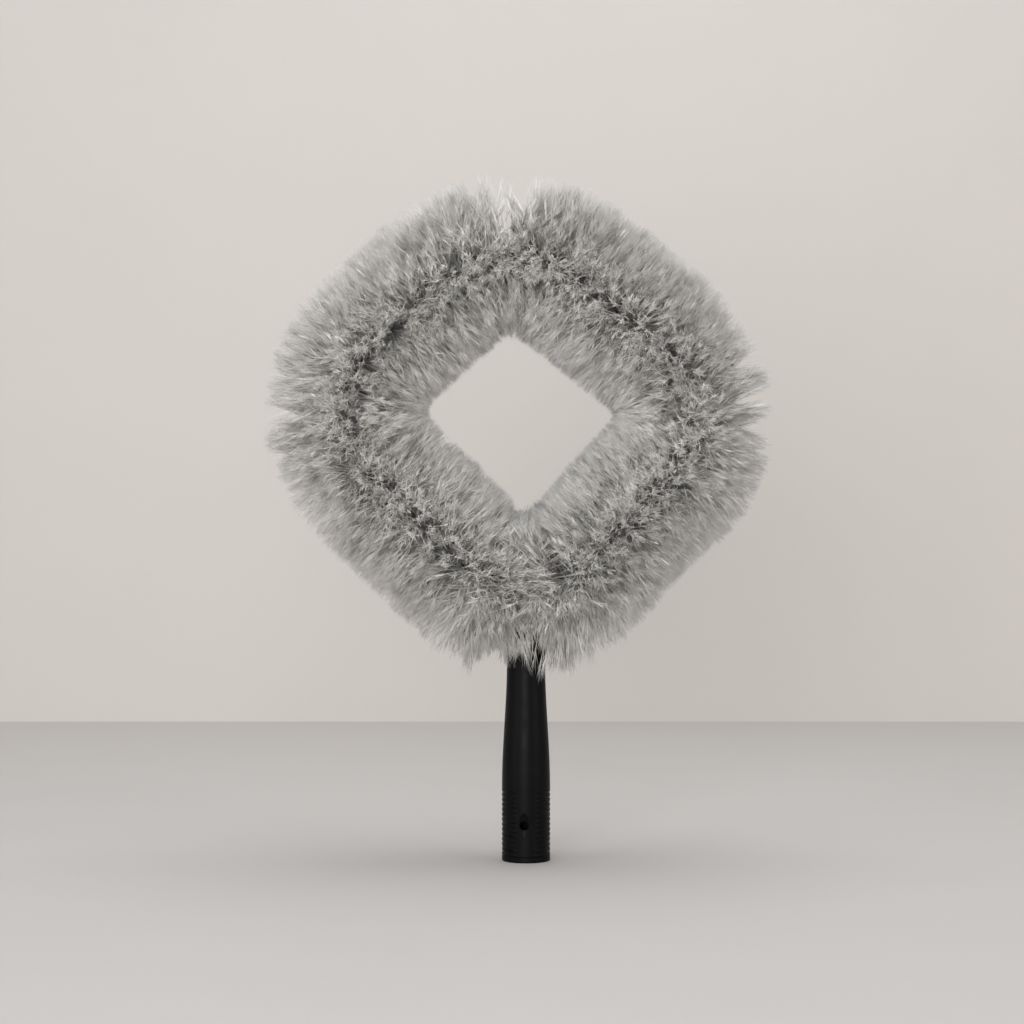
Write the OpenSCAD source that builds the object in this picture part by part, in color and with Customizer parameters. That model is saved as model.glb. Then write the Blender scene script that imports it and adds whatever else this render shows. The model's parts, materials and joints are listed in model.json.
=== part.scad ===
// Cobweb brush: a twisted-wire brush bent into a diamond loop, its two bare tails clamped in the neck
// of a moulded pole socket. The loop stands in the XZ plane, +Z is up the handle, -Y is the front,
// and the origin is the centre of the socket's open end.

/* [Socket] */
// Length of the moulded socket
socket_len = 151.6; // [125:0.2:180]
// Diameter of the pole end that the socket takes
pole_d = 24; // [20:0.5:29]
// Radial clearance round the pole end
pole_clear = 0.2; // [0.1:0.05:0.4]
// Depth of the pole bore
bore_depth = 80; // [65:1:96]
// Wall of the grip round the pole
grip_wall = 3.8; // [3.1:0.1:4.6]
// Wall of the neck round the plug's flange
neck_wall = 2.1; // [1.8:0.1:2.6]
// Length of the straight neck above the taper
neck_len = 20; // [16:1:24]
// Turn of the socket about its own axis, away from square to the loop
socket_turn = 5; // [0:1:30]

/* [Grip] */
// Number of grip grooves up each side
groove_count = 13; // [4:1:13]
// Spacing of the grooves
groove_pitch = 3.26; // [2.7:0.02:3.92]
// Width of one groove
groove_w = 1.5; // [0.8:0.1:1.8]
// Depth of a groove at the side of the grip
groove_depth = 0.4; // [0.3:0.05:0.8]
// Half angle of the plain strip at the front and at the back
strip_angle = 21; // [15:1:35]
// Height of the lowest groove
groove_from = 6.2; // [5:0.2:8]
// Plain length between the grooves and the taper
groove_margin = 1.4; // [1:0.2:6]

/* [Lock hole] */
// Diameter of the hole for the pole's spring button
lock_d = 6; // [4:0.5:7]
// Height of the lock hole
lock_z = 24.6; // [16:0.2:28]
// Length of the thumb scoop round the hole
scoop_len = 17.3; // [14:0.1:22]
// Width of the thumb scoop
scoop_w = 6.9; // [6:0.1:9]
// Depth of the thumb scoop
scoop_depth = 1.6; // [1:0.1:2]

/* [Wire] */
// Diameter of each of the two core wires
wire_d = 2.5; // [2:0.1:3]
// Length of wire in one full twist
twist_pitch = 20; // [16:0.5:30]
// Thickness of the filaments pinched between the wires
pinch_d = 0.84; // [0.7:0.02:1.02]
// Gap between a wire and what it lies against
wire_clear = 0.08; // [0.05:0.01:0.15]

/* [Loop] */
// Width of the diamond between its side corners, before they are rounded
loop_w = 285.8; // [240:1:340]
// Height of the top corner above the neck
crown_z = 270.5; // [245:1:300]
// Height above the neck where the tails turn out into the loop's root
root_z = 29; // [27:0.5:36]
// Rise of the root, in degrees
root_slope = 8; // [4:1:15]
// Straight length of the root on each side
root_flat = 3; // [1:0.5:8]
// Rise of the diamond's lower sides, in degrees
side_slope = 46; // [38:1:54]
// Turn of the lower sides in the loop's plane, in degrees
side_turn = 1.4; // [0:0.2:3]
// How far the side corners sit to the left of the socket's axis
side_lean = 4.8; // [0:0.2:8]
// How far the top corner leans to the left
top_lean = 11.4; // [0:0.2:15]
// Radius of the bend at the tails
tail_bend = 7; // [5:0.5:7.5]
// Radius of the two lower bends
root_bend = 50; // [40:1:60]
// Radius of the left bend
left_bend = 62; // [40:1:64]
// Radius of the right bend
right_bend = 58; // [40:1:64]
// Radius of the top bend
top_bend = 74; // [50:1:80]

/* [Bristles] */
// Length of a bristle from the middle of the wires to its tip
trim_r = 55; // [45:1:66]
// Spacing of the bristles along the wires
bristle_step = 2.83; // [2.36:0.01:4]
// Width of a strand at its root, along the wires
root_t = 1.2; // [0.8:0.1:1.5]
// Width of a strand across its split tip
tip_t = 1.9; // [1:0.1:2.4]
// Share by which the bristles' lengths vary
length_vary = 0.04; // [0:0.01:0.06]
// Space kept clear round the centre of a bend
hub_clear = 15; // [12:1:25]
// Space kept clear round the top of the neck
neck_gap = 2; // [1:0.5:4]

/* [Plug] */
// Depth of the plug in the neck
plug_len = 44; // [36:1:50]
// Wall of the plug outside the tails
plug_wall = 2.3; // [1.9:0.1:2.8]
// Wall of the plug between each tail and the cross pin
tail_web = 0.6; // [0.5:0.1:0.8]
// Radial clearance round the plug
plug_clear = 0.1; // [0.05:0.05:0.2]
// How far the plug's flange stands out past it
flange_step = 1.1; // [0.8:0.1:1.4]
// Thickness of the plug's flange
flange_t = 1.6; // [1:0.1:2.5]
// Diameter of the cross pin
pin_d = 2.5; // [2:0.1:3]
// Depth of the cross pin below the neck's top edge
pin_drop = 12; // [9:0.5:16]
// Radial clearance of the cross pin in its hole
pin_clear = 0.02; // [0.01:0.01:0.05]

/* [Ferrule] */
// Height of the crimped ferrule on the tails
ferrule_h = 12; // [8:0.5:15]
// Wall of the ferrule
ferrule_wall = 0.9; // [0.6:0.1:1.2]
// Distance of the ferrule above the plug
ferrule_lift = 2.5; // [1:0.5:4]

/* [Hidden] */
$fn = 64;

black = [0.1, 0.1, 0.1];
steel = [0.62, 0.63, 0.64];
grey = [0.62, 0.61, 0.59];
eps = 0.01;

wire_r = wire_d / 2;
// Distance of each wire's centre from the middle of the twist, with filaments between and on the tails
fill_offset = wire_r + pinch_d / 2 + wire_clear;
tail_offset = wire_r + wire_clear / 2;
tail_r = tail_offset + wire_r;
// The tails stand on either side of the cross pin, and the plug, its seat and the neck go round them
pin_hole_r = pin_d / 2 + pin_clear;
channel_r = tail_r + wire_clear;
tail_x = pin_hole_r + tail_web + channel_r;
plug_r = tail_x + channel_r + plug_wall;
flange_r = plug_r + flange_step;
chamber_r = plug_r + plug_clear;
seat_r = flange_r + plug_clear;
neck_r = seat_r + neck_wall;
chamber_floor = socket_len - plug_len;

pole_r = pole_d / 2 + pole_clear;
grip_r = pole_r + grip_wall;
taper_from = groove_from + groove_count * groove_pitch + groove_margin;
taper_to = socket_len - neck_len;
// Bottom edge of the grip: a small round, and a fine line all the way round above it
rim_round = 0.8;
line_z = 3.8;
line_w = 0.8;
line_depth = 0.3;
// Draft of the neck above the taper, and the round of its top edge
neck_draft = 0.3;
lip_r = 1.2;

// The tails stop short of the bottom of their channels by this much
tail_stop = 3;
// Length past the filaments' end over which the wires close up
close_len = 14;

function unit(v) = v / norm(v);
function ease(t) = let (u = min(max(t, 0), 1)) u * u * (3 - 2 * u);

// Radius of the socket's outside at a height on its taper
function taper_r(z) =
    neck_r + (grip_r - neck_r) * ease((taper_to - z) / (taper_to - taper_from));

// The wires' route in the XZ plane, as corners [x, z, bend radius] of half the diamond that starts at a tail
function half_route(sign, slope, side_x, side_bend) = let (
    root = [tail_x, socket_len + root_z],
    to_bend = tail_bend * tan((90 - root_slope) / 2)
        + root_flat + root_bend * tan((slope - root_slope) / 2),
    low = root + to_bend * [cos(root_slope), sin(root_slope)],
    side = low + (side_x - low.x) * [1, tan(slope)]
) [
    [sign * tail_x, chamber_floor + tail_stop, 0],
    [sign * root.x, root.y, tail_bend],
    [sign * low.x, low.y, root_bend],
    [sign * side.x, side.y, side_bend]
];

right_half = half_route(1, side_slope + side_turn, loop_w / 2 - side_lean, right_bend);
stops = [
    each half_route(-1, side_slope - side_turn, loop_w / 2 + side_lean, left_bend),
    [-top_lean, socket_len + crown_z, top_bend],
    for (i = [3:-1:0]) right_half[i]
];
last_stop = len(stops) - 1;

function flat(p) = [p.x, p.y];
function leg(i) = unit(flat(stops[i + 1]) - flat(stops[i]));
function turn(i) =
    i <= 0 || i >= last_stop ? 0
    : let (a = leg(i - 1), b = leg(i)) atan2(cross(a, b), a * b);
// Length that a bend takes from each leg beside it
function bend_cut(i) = stops[i].z * tan(abs(turn(i)) / 2);
function arc_len(i) = stops[i].z * abs(turn(i)) * PI / 180;

// Each piece of the route is [start, heading, length, degrees turned per mm]
pieces = [
    for (i = [0:last_stop - 1]) let (d = leg(i), h = atan2(d.y, d.x)) each [
        [
            flat(stops[i]) + bend_cut(i) * d,
            h,
            norm(flat(stops[i + 1]) - flat(stops[i])) - bend_cut(i) - bend_cut(i + 1),
            0
        ],
        if (i < last_stop - 1) [
            flat(stops[i + 1]) - bend_cut(i + 1) * d,
            h,
            arc_len(i + 1),
            turn(i + 1) / arc_len(i + 1)
        ]
    ]
];

function summed(i) = i == 0 ? [0] : let (before = summed(i - 1))
    concat(before, [before[i - 1] + pieces[i - 1][2]]);
starts = summed(len(pieces));
route_len = starts[len(pieces)];

function piece_at(s) = let (past = [for (i = [0:len(pieces) - 1]) if (starts[i] <= s + eps / 10) i])
    past[max(len(past) - 1, 0)];

// [x, z, heading, degrees turned per mm] at a length along the route
function place(s) = let (
    i = piece_at(s),
    p = pieces[i],
    u = s - starts[i],
    h = p[1] + p[3] * u,
    r = p[3] == 0 ? 0 : 180 / PI / p[3],
    at = p[3] == 0
        ? p[0] + u * [cos(h), sin(h)]
        : p[0] + r * [sin(h) - sin(p[1]), cos(p[1]) - cos(h)]
) [at.x, at.y, h, p[3]];

function centre(s) = let (p = place(s)) [p.x, 0, p.y];
function along(s) = let (h = place(s)[2]) [cos(h), 0, sin(h)];
// Unit vector square to the route. Angle 0 points into the loop, 90 to the front and 180 out of the loop
function spoke(s, a) = let (h = place(s)[2]) cos(a) * [sin(h), 0, -cos(h)] + sin(a) * [0, -1, 0];
function twist(s) = 360 * s / twist_pitch;

// The filled stretch of the route starts past the left tail's bend and ends before the right one's
fill_from = starts[2];
fill_to = starts[13];

function wire_offset(s) = let (
    inside = min(s - fill_from, fill_to - s),
    share = ease(inside / close_len + 1)
) tail_offset + share * (fill_offset - tail_offset);

function wire_centre(s, phase) = centre(s) + wire_offset(s) * spoke(s, twist(s) + phase);

module skin(rings) {
    n = len(rings[0]);
    top = len(rings) - 1;
    faces = [
        for (k = [1:n - 2]) [0, k + 1, k],
        for (k = [1:n - 2]) [top * n, top * n + k, top * n + k + 1],
        for (i = [0:top - 1], j = [0:n - 1]) let (
            a = i * n + j,
            b = i * n + (j + 1) % n
        ) each [[a, b, b + n], [a, b + n, a + n]]
    ];
    polyhedron([for (r = rings) each r], faces);
}

wire_sides = 6;
rings_per_twist = 7;

module core_wire(phase) {
    count = ceil(route_len / twist_pitch * rings_per_twist);
    step = route_len / count;
    probe = step / 20;
    color(steel) skin([
        for (i = [0:count]) let (
            s = i * step,
            c = wire_centre(s, phase),
            before = wire_centre(max(s - probe, 0), phase),
            after = wire_centre(min(s + probe, route_len), phase),
            t = unit(after - before),
            out = unit(c - centre(s)),
            e = unit(out - (out * t) * t),
            f = cross(t, e)
        ) [for (k = [0:wire_sides - 1]) let (a = 360 * k / wire_sides)
            c + wire_r * (cos(a) * e - sin(a) * f)]
    ]);
}

// A repeatable number from -1 to 1 for each strand
function jitter(k) = let (x = sin(k * 137.508) * 43.7585) 2 * (x - floor(x)) - 1;

// How far a strand may reach before it meets the top of the neck
function neck_stop(s, a) = let (
    out = spoke(s, a),
    drop = centre(s).z - socket_len - neck_gap,
    reach = out.z < 0 ? -drop / out.z : trim_r * 2,
    hit = centre(s) + reach * out
) norm([hit.x, hit.y]) < neck_r + neck_gap ? reach : trim_r * 2;

// How far a strand may reach before it is too near the centre of the bend that it stands in.
// The loop turns clockwise, so spoke angle 0 points at the centre of such a bend.
function hub_stop(s, a) = let (
    bend = place(s)[3],
    inward = -sign(bend) * cos(a)
) inward <= 0.05 ? trim_r * 2 : (180 / PI / abs(bend) - hub_clear) / inward;

function strand_len(s, a) =
    min(trim_r * (1 + length_vary * jitter(s + a)), neck_stop(s, a), hub_stop(s, a));

// A slice of the pinched filaments with its strands: one closed skin, so no strand needs a union
module bristles(from, to) {
    count = round((to - from) / bristle_step);
    step = (to - from) / count;
    mids = [for (k = [0:count - 1]) from + (k + 0.5) * step];
    cuts = [from, for (m = mids) each [m - root_t / 2, m + root_t / 2], to];
    core = [for (s = cuts, j = [0:3])
        centre(s) + pinch_d / 2 * spoke(s, twist(s) + 45 + 90 * j)];
    // Strands leave between the two wires, so they point a quarter turn from them
    tips = [for (s = mids, a = [90, 270]) let (
        aim = twist(s) + a,
        out = spoke(s, aim),
        side = spoke(s, aim + 90),
        end = centre(s) + strand_len(s, aim) * out,
        half = tip_t / 2
    ) each [for (c = [[-1, -1], [-1, 1], [1, 1], [1, -1]])
        end + half * (c.x * along(s) + c.y * side)]];
    tips_at = len(core);
    function quad(q) = [[q[0], q[1], q[2]], [q[0], q[2], q[3]]];
    faces = [
        each quad([3, 2, 1, 0]),
        each quad([for (j = [0:3]) 4 * (len(cuts) - 1) + j]),
        for (i = [0:len(cuts) - 2], j = [0:3]) let (
            base = [4 * i + j, 4 * i + (j + 1) % 4, 4 * i + 4 + (j + 1) % 4, 4 * i + 4 + j],
            rooted = i % 2 == 1 && j % 2 == 0,
            t = tips_at + 4 * (i - 1) + 2 * j,
            tip = [t, t + 1, t + 2, t + 3]
        ) each !rooted ? quad(base) : [
            each quad(tip),
            for (k = [0:3]) each quad([base[k], base[(k + 1) % 4], tip[(k + 1) % 4], tip[k]])
        ]
    ];
    color(grey) polyhedron(concat(core, tips), faces);
}

// Two circles of a radius side by side on the tails' centres, joined by straight sides
module tail_oval(r) {
    for (side = [-1, 1]) translate([side * tail_x, 0]) circle(r);
    square([2 * tail_x, 2 * r], center = true);
}

// Outline of one groove layer: deepest at the sides of the grip, gone at the front and back strips
module groove_layer() {
    shift = groove_depth / (1 - sin(strip_angle));
    floor_r = grip_r + shift * sin(strip_angle);
    linear_extrude(groove_w) difference() {
        circle(grip_r + 2);
        intersection() {
            translate([-shift, 0]) circle(floor_r);
            translate([shift, 0]) circle(floor_r);
        }
    }
}

// A thumb scoop as a round cutter leaves it: a ring whose tube is as wide as the scoop
module scoop() {
    // The grip falls away by this much at the scoop's edge, so the tube is that much shallower there
    fall = grip_r - sqrt(grip_r * grip_r - scoop_w * scoop_w / 4);
    rise = scoop_depth - fall;
    wheel_r = (scoop_len * scoop_len / 4 + scoop_depth * scoop_depth) / (2 * scoop_depth);
    tube_r = (scoop_w * scoop_w / 4 + rise * rise) / (2 * rise);
    translate([0, scoop_depth - grip_r - wheel_r, lock_z])
        rotate([0, 90, 0])
        rotate_extrude($fn = 96)
        translate([wheel_r - tube_r, 0])
        circle(tube_r);
}

module socket_body() {
    taper_steps = 10;
    lip_steps = 4;
    rim_steps = 4;
    taper = [for (i = [0:taper_steps]) let (
        z = taper_from + (taper_to - taper_from) * i / taper_steps
    ) [taper_r(z), z]];
    lip = [for (i = [0:lip_steps]) let (a = 90 * i / lip_steps)
        [neck_r - neck_draft - lip_r * (1 - cos(a)), socket_len - lip_r * (1 - sin(a))]];
    rim = [for (i = [0:rim_steps]) let (a = 90 * i / rim_steps)
        [grip_r - rim_round * (1 - sin(a)), rim_round * (1 - cos(a))]];
    rotate_extrude($fn = 128) polygon([
        each rim,
        [grip_r, line_z - line_w / 2],
        [grip_r - line_depth, line_z],
        [grip_r, line_z + line_w / 2],
        each taper,
        each lip,
        [seat_r, socket_len],
        [seat_r, socket_len - flange_t],
        [chamber_r, socket_len - flange_t],
        [chamber_r, chamber_floor],
        [0, chamber_floor],
        [0, bore_depth],
        [pole_r, bore_depth],
        [pole_r, 0]
    ]);
}

module pin_hole() {
    translate([0, 0, socket_len - pin_drop]) rotate([90, 0, 0])
        cylinder(r = pin_hole_r, h = 2 * grip_r, center = true);
}

module handle_socket() {
    color(black) difference() {
        rotate([0, 0, -socket_turn]) difference() {
            socket_body();
            for (i = [0:groove_count - 1])
                translate([0, 0, groove_from + i * groove_pitch - groove_w / 2]) groove_layer();
            scoop();
            translate([0, -grip_r - 1, lock_z]) rotate([-90, 0, 0])
                cylinder(d = lock_d, h = grip_r + 1);
        }
        pin_hole();
    }
}

// One moulded half of the plug, on the -Y side, with half of each tail's channel
module plug_half() {
    split_clear = 0.05;
    channel_floor = chamber_floor + tail_stop - wire_r;
    difference() {
        union() {
            translate([0, 0, chamber_floor + plug_clear])
                cylinder(r = plug_r, h = plug_len - plug_clear);
            translate([0, 0, socket_len - flange_t + plug_clear])
                cylinder(r = flange_r, h = flange_t - plug_clear);
        }
        translate([-2 * flange_r, -split_clear, chamber_floor - 1])
            cube([4 * flange_r, 2 * flange_r, plug_len + 2]);
        for (side = [-1, 1]) translate([side * tail_x, 0, channel_floor])
            cylinder(r = channel_r, h = plug_len);
        pin_hole();
    }
}

module wire_plug_front() {
    color(black) plug_half();
}

module wire_plug_rear() {
    color(black) rotate([0, 0, 180]) plug_half();
}

// Cross pin through the neck and both plug halves, between the tails, its ends just under the surface
module plug_cross_pin() {
    sunk = 0.4;
    pin_len = 2 * (neck_r - neck_draft - sunk);
    color(steel) translate([0, 0, socket_len - pin_drop]) rotate([90, 0, 0])
        cylinder(d = pin_d, h = pin_len, center = true);
}

module tail_ferrule() {
    crimp_r = 1.6;
    crimp_in = 0.35;
    color(steel) translate([0, 0, socket_len + ferrule_lift]) difference() {
        linear_extrude(ferrule_h) difference() {
            tail_oval(channel_r + ferrule_wall);
            tail_oval(channel_r);
        }
        // Two crimp marks across the front and the back
        for (z = [ferrule_h / 3, ferrule_h * 2 / 3], side = [-1, 1])
            translate([0, side * (channel_r + ferrule_wall + crimp_r - crimp_in), z]) rotate([0, 90, 0])
                cylinder(r = crimp_r, h = 2 * tail_x, center = true);
    }
}

module core_wire_a() core_wire(0);
module core_wire_b() core_wire(180);

// Bristle slices end where the route's straight sides and bends do
module bristles_root_left() bristles(starts[2], starts[4]);
module bristles_lower_left() bristles(starts[4], starts[5]);
module bristles_left_bend() bristles(starts[5], starts[6]);
module bristles_upper_left() bristles(starts[6], starts[7]);
module bristles_top_bend() bristles(starts[7], starts[8]);
module bristles_upper_right() bristles(starts[8], starts[9]);
module bristles_right_bend() bristles(starts[9], starts[10]);
module bristles_lower_right() bristles(starts[10], starts[11]);
module bristles_root_right() bristles(starts[11], starts[13]);

handle_socket();
wire_plug_front();
wire_plug_rear();
plug_cross_pin();
tail_ferrule();
core_wire_a();
core_wire_b();
bristles_root_left();
bristles_lower_left();
bristles_left_bend();
bristles_upper_left();
bristles_top_bend();
bristles_upper_right();
bristles_right_bend();
bristles_lower_right();
bristles_root_right();
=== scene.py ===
"""Looks of a cobweb brush: bristles held by twisted wires, a moulded pole socket and a plain stage."""

import json
import math

import bmesh
import bpy
import numpy as np
from mathutils import Matrix, Vector


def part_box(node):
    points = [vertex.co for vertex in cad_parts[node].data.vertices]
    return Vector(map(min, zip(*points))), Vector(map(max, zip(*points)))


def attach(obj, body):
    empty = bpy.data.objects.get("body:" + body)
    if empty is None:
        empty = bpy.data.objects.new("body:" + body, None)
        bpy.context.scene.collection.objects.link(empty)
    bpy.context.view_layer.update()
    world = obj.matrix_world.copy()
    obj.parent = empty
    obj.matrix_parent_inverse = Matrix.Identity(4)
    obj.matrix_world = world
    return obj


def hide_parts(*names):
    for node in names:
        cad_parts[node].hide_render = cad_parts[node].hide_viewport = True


bl_info = {
    "name": "Cobweb brush looks",
    "version": (1, 0, 0),
    "blender": (4, 5, 0),
    "location": "3D View > Sidebar > Brush",
    "description": "Grows the bristles of a cobweb brush and finishes its socket, wires and stage",
    "category": "Object",
}

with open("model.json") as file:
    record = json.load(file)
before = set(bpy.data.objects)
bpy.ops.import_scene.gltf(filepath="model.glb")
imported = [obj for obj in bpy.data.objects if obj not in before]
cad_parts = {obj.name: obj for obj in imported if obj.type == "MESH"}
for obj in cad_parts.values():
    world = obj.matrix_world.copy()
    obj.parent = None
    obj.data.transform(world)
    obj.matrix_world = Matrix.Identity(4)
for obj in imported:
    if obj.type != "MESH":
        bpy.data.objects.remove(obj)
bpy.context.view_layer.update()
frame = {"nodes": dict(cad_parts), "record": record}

# The line midway between the core wires, as part.scad lays it: x, height above the neck's top edge
# and the radius of the bend there
WIRE_STOPS = {
    "left tail end": (-0.00449, -0.041, 0),
    "neck, left": (-0.00449, 0.029, 0.007),
    "root, left": (-0.02986, 0.03257, 0.050),
    "left corner": (-0.1477, 0.14877, 0.062),
    "top corner": (-0.0114, 0.2705, 0.074),
    "right corner": (0.1381, 0.14899, 0.058),
    "root, right": (0.0312, 0.03276, 0.050),
    "neck, right": (0.00449, 0.029, 0.007),
    "right tail end": (0.00449, -0.041, 0),
}

# The nodes of the bristles, with the first stretch of that line in each and the one after its last
BRISTLE_RUNS = {
    "root_left": (2, 4),
    "lower_left": (4, 5),
    "left_bend": (5, 6),
    "upper_left": (6, 7),
    "top_bend": (7, 8),
    "upper_right": (8, 9),
    "right_bend": (9, 10),
    "lower_right": (10, 11),
    "root_right": (11, 13),
}

# Where the filaments part on the outside of the loop, as in the photograph: x and z at the outline,
# how far each side moves away, how far along the wires that is felt and how much the edges recede
PARTINGS = {
    "left, upper": (-0.1660, 0.3230, 0.0016, 0.006, 0.002),
    "left, middle": (-0.1655, 0.2955, 0.0038, 0.008, 0.005),
    "left, lower": (-0.1680, 0.2700, 0.0024, 0.006, 0.005),
    "top, left": (-0.0370, 0.4500, 0.0026, 0.005, 0.004),
    "top, middle": (-0.0200, 0.4530, 0.0022, 0.004, 0.002),
    "top, right": (-0.0030, 0.4530, 0.0022, 0.004, 0.002),
    "right, upper": (0.1500, 0.3300, 0.0030, 0.007, 0.006),
    "right, middle": (0.1560, 0.3065, 0.0034, 0.007, 0.009),
    "right, lower": (0.1550, 0.2875, 0.0036, 0.008, 0.008),
    "root, left": (-0.0215, 0.1320, 0.0034, 0.006, 0),
    "root, far left": (-0.0305, 0.1340, 0.0014, 0.003, 0.003),
    "root, right": (0.0362, 0.1320, 0.0016, 0.004, 0.006),
}

# Where tips stand out of the trimmed outline or fall short of it: x and z, how far, and how wide
# a place that is felt in
UNEVEN_TIPS = {
    "top, left tuft": (-0.0275, 0.4540, 0.0085, 0.0045),
    "top, far left tuft": (-0.0450, 0.4480, 0.0035, 0.005),
    "top, right tuft": (-0.0050, 0.4540, 0.0030, 0.005),
    "left, long": (-0.1700, 0.2760, 0.0040, 0.008),
    "left, long upper": (-0.1700, 0.3030, 0.0030, 0.004),
    "right, long": (0.1600, 0.3160, 0.0030, 0.005),
    "right, upper short": (0.1420, 0.3560, -0.0050, 0.022),
    "right, lower short": (0.1020, 0.1800, -0.0045, 0.030),
    "inside, top": (-0.0110, 0.3470, -0.0060, 0.006),
    "inside, bottom": (-0.0025, 0.2360, -0.0045, 0.006),
    "lower left, long": (-0.0560, 0.1400, 0.0050, 0.016),
    "left of the neck, long": (-0.0365, 0.1300, 0.0105, 0.006),
    "left of the neck, short": (-0.0200, 0.1310, -0.0100, 0.006),
    "neck, left": (-0.0110, 0.1300, 0.0040, 0.004),
    "neck, bare": (-0.0025, 0.1295, -0.0120, 0.0042),
    "neck, right": (0.0070, 0.1300, 0.0105, 0.0060),
    "right of the neck, long": (0.0260, 0.1280, 0.0090, 0.010),
    "right of the neck, outer": (0.0440, 0.1320, 0.0060, 0.009),
}

# Where tufts are missing or filaments get a painted glint: x and z, reach, share of tufts missing,
# share of filaments painted near white
THIN_PLACES = {
    "top, open": (-0.0130, 0.4440, 0.021, 1.30, 0.50),
    "left, open": (-0.1670, 0.2990, 0.018, 0.50, 0.10),
    "right, open": (0.1590, 0.3060, 0.018, 0.50, 0.08),
    "upper left, bright": (-0.0450, 0.3970, 0.020, 0.0, 0.08),
    "left, bright": (-0.1300, 0.3340, 0.015, 0.0, 0.08),
    "left, lower bright": (-0.1400, 0.2740, 0.012, 0.0, 0.06),
    "right, lower bright": (0.1390, 0.2600, 0.014, 0.0, 0.09),
    "inside, bright": (0.0226, 0.3719, 0.010, 0.0, 0.09),
}

FRONT = np.array((0.0, -1.0, 0.0))
MAP_NAME = "OFBake"


def colour(hex_code):
    """Turns an sRGB hex code into the linear red, green and blue that Blender works with."""
    parts = [int(hex_code[i : i + 2], 16) / 255 for i in (1, 3, 5)]
    return tuple(p / 12.92 if p <= 0.04045 else ((p + 0.055) / 1.055) ** 2.4 for p in parts)


def length(name, description, default):
    """A size in metres for a panel."""
    return bpy.props.FloatProperty(
        name=name, description=description, default=default, min=0, precision=5, unit="LENGTH"
    )


def share(name, description, default):
    """A share from 0 to 1 for a panel."""
    return bpy.props.FloatProperty(
        name=name, description=description, default=default, min=0, max=1, subtype="FACTOR"
    )


def shade(name, description, hex_code):
    """A colour for a panel."""
    return bpy.props.FloatVectorProperty(
        name=name,
        description=description,
        default=colour(hex_code),
        size=3,
        min=0,
        max=1,
        subtype="COLOR",
    )


class BristleSizes(bpy.types.PropertyGroup):
    """Sizes of the filaments and of the tufts that they gather into."""

    trim_radius: length("Trim radius", "From the wires to the trimmed tips", 0.055)
    tuft_pitch: length("Tuft pitch", "Between the middles of two tufts, at their tips", 0.005)
    stem_width: length("Stem width", "Of a bundle of filaments that is drawn as one stem", 0.00050)
    split_width: length("Split width", "Of a split end where it leaves its stem", 0.00043)
    split_spread: length("Split spread", "How far the split ends of a stem fan out", 0.0019)
    sway: length("Sway", "How far neighbouring tufts lean together", 0.0055)
    lean: length("Lean", "How far a tuft leans its own way", 0.0022)
    curl: length("Curl", "How far a filament bows sideways", 0.0040)
    gather: share("Gather", "How far the stems of a tuft draw together at their tips", 0.45)
    under: share("Undercoat", "Stems that end short, between the tufts", 0.42)
    frizz: share("Frizz", "Split ends that fan out wide", 0.30)
    short: share("Short split ends", "Split ends that stop below the trimmed tips", 0.28)
    softness: share("Softness", "How far light wraps round a filament towards its tip", 0.08)
    stray: share("Stray share", "Stems that lie across their neighbours", 0.08)
    stems: bpy.props.IntProperty(name="Stems", description="In a tuft", default=6, min=1)
    splits: bpy.props.IntProperty(name="Split ends", description="On a stem", default=7, min=1)


class BrushColours(bpy.types.PropertyGroup):
    """Colours of the brush."""

    filament_dark: shade("Dark filament", "Of the darkest filaments", "#86837f")
    filament_mid: shade("Grey filament", "Of most filaments", "#d2cfca")
    filament_pale: shade("Pale filament", "Of the palest filaments", "#ece9e5")
    # A painted glint: near white on a few filaments stands in for their highlights
    filament_painted_glint: shade("Bright filament", "Of the few that shine nearly white", "#fbfaf8")
    socket: shade("Socket", "Moulded black polypropylene", "#0a0a0b")
    plug: shade("Plug", "Moulded grey-black nylon", "#2c2c2d")
    pin: shade("Pin", "Black-oxide steel", "#3a3a3c")
    zinc: shade("Zinc", "Zinc plating and galvanised wire", "#b9bcbe")


class StageLook(bpy.types.PropertyGroup):
    """The backdrop and its light."""

    wall: shade("Wall", "Colour of the backdrop", "#d2cdc8")
    floor: shade("Floor", "Colour of the floor", "#cdcac8")
    key_power: bpy.props.FloatProperty(
        name="Key light", description="Of the softbox behind the camera", default=34, unit="POWER"
    )
    fill_power: bpy.props.FloatProperty(
        name="Fill light", description="Of each side softbox", default=8, unit="POWER"
    )
    top_power: bpy.props.FloatProperty(
        name="Top light", description="Of the softbox overhead", default=9, unit="POWER"
    )
    sky: bpy.props.FloatProperty(
        name="Room light", description="Strength of the even light all round", default=0.48, min=0
    )


def add(tree, kind, sockets=None, **settings):
    """Adds a shader node with its settings, and sets or links its sockets."""
    node = tree.nodes.new("ShaderNode" + kind)
    for name, value in settings.items():
        setattr(node, name, value)
    for name, value in (sockets or {}).items():
        if isinstance(value, bpy.types.NodeSocket):
            tree.links.new(value, node.inputs[name])
        else:
            node.inputs[name].default_value = value
    return node


def opaque(rgb):
    """A colour with its alpha."""
    return (*rgb, 1.0)


def ramp(tree, factor, stops):
    """Adds a colour ramp that passes through (place, colour) stops, and returns its colour."""
    node = add(tree, "ValToRGB", {"Fac": factor})
    elements = node.color_ramp.elements
    while len(elements) < len(stops):
        elements.new(0.5)
    for element, (place, rgb) in zip(elements, stops):
        element.position = place
        element.color = opaque(rgb)
    return node.outputs["Color"]


def new_material(name, **constants):
    """A material with an empty Principled shader that has these constants."""
    material = bpy.data.materials.new(name)
    material.use_nodes = True
    tree = material.node_tree
    tree.nodes.clear()
    shader = add(tree, "BsdfPrincipled", constants)
    add(tree, "OutputMaterial", {"Surface": shader.outputs["BSDF"]})
    return material, tree, shader


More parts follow.
